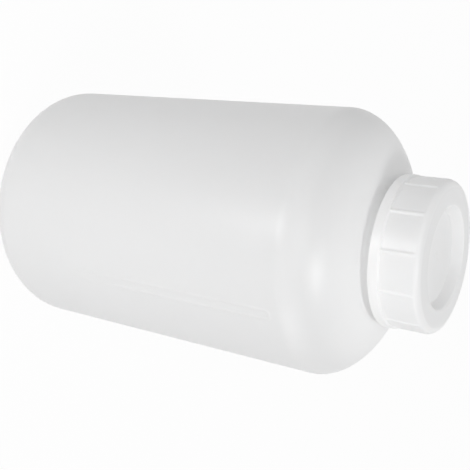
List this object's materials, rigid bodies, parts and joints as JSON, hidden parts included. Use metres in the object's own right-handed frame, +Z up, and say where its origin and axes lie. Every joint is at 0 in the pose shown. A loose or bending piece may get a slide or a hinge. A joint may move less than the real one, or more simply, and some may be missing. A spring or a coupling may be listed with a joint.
{
  "type": "wide mouth bottle",
  "caption": "Round wide mouth bottle in white translucent plastic with a ribbed, dished screw cap that unscrews on a real thread and lifts as it turns.",
  "frame": {"origin": "centre of the base's underside, on the surface that the bottle stands on", "axes": "+Z up along the bottle's axis towards the cap, -Y towards the side that the picture shows"},
  "size_m": [0.136, 0.136, 0.2445],
  "materials": {
    "bottle_plastic": "satin",
    "cap_plastic": "satin",
    "seal_foam": "matte"
  },
  "bodies": {
    "bottle": {"bottle": "bottle_plastic"},
    "seal": {"seal_ring": "seal_foam"},
    "cap": {"cap": "cap_plastic"}
  },
  "joints": [
    {"name": "cap_lift", "type": "slide", "parent": "bottle", "child": "seal", "axis": [0, 0, 1], "range_m": [0, 0.009]},
    {"name": "cap_turn", "type": "hinge", "parent": "seal", "child": "cap", "pos_m": [0, 0, 0.242], "axis": [0, 0, 1], "range_deg": [0, 540]}
  ],
  "couplings": [
    {"joint": "cap_lift", "follows": "cap_turn", "m_per_rad": 0.00095493}
  ]
}
